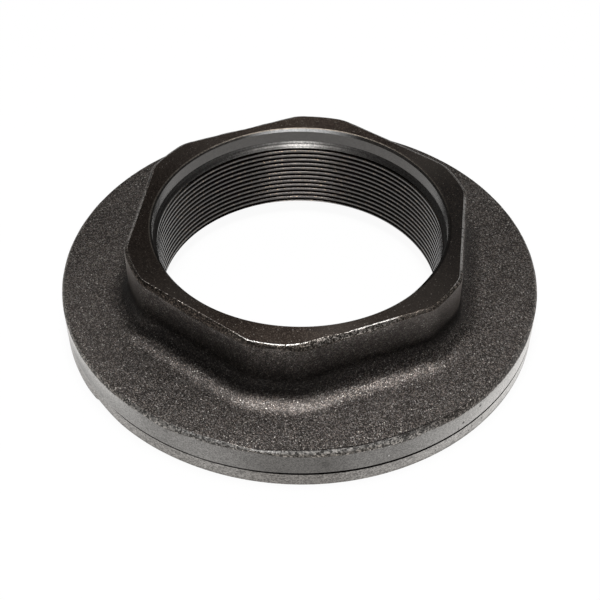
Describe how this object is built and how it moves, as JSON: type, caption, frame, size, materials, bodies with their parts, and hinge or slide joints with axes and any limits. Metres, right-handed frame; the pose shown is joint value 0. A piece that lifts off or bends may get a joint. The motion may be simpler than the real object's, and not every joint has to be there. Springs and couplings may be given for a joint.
{
  "type": "axle hub nut",
  "caption": "Flanged hexagon nut for a heavy axle end: broad round flange with a flat bearing face, forged hexagon for a spanner, and a large through bore with a fine left-hand thread.",
  "frame": {"origin": "on the bore's axis, in the plane of the flange's bearing face", "axes": "+Z along the bore from the bearing face towards the hexagon, X square to two of the hexagon's flats"},
  "size_m": [0.125, 0.125, 0.0286],
  "materials": {
    "blackened_steel": "black forging skin, with the rim, the end face and the bore turned"
  },
  "bodies": {
    "root": {"axle_hub_nut": "blackened_steel"}
  },
  "joints": []
}
